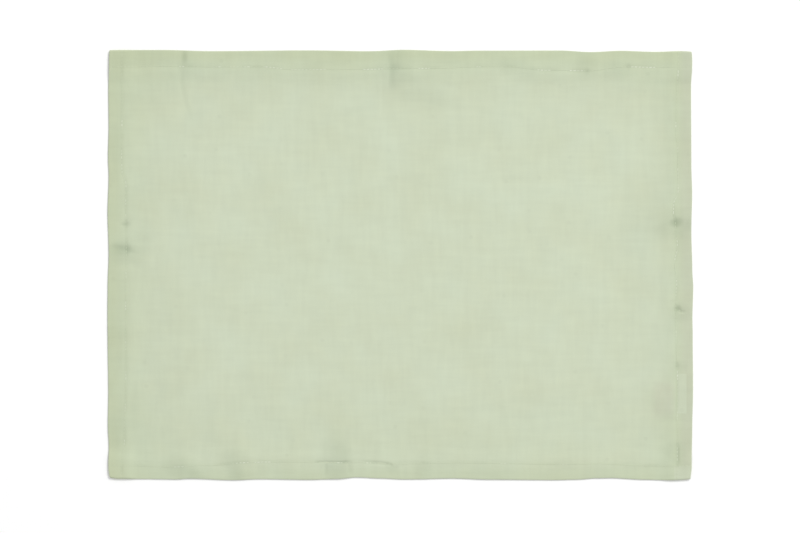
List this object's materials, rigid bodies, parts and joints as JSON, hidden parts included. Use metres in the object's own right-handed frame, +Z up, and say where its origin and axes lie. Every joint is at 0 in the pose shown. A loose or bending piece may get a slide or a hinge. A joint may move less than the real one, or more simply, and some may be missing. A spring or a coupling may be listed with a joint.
{
  "type": "fabric placemat",
  "caption": "Rectangular plain cloth placemat lying flat, with double-fold stitched hems and a small blank label on the reverse.",
  "frame": {"origin": "on the supporting surface, under the middle of the mat", "axes": "+X along the long side towards the hem with the label, +Y along the short side away from the label's corner, +Z up out of the mat's face side"},
  "size_m": [0.4858, 0.3572, 0.0034],
  "materials": {
    "cloth": "matte",
    "label": "matte"
  },
  "bodies": {
    "root": {"cloth": "cloth", "label": "label"}
  },
  "joints": []
}
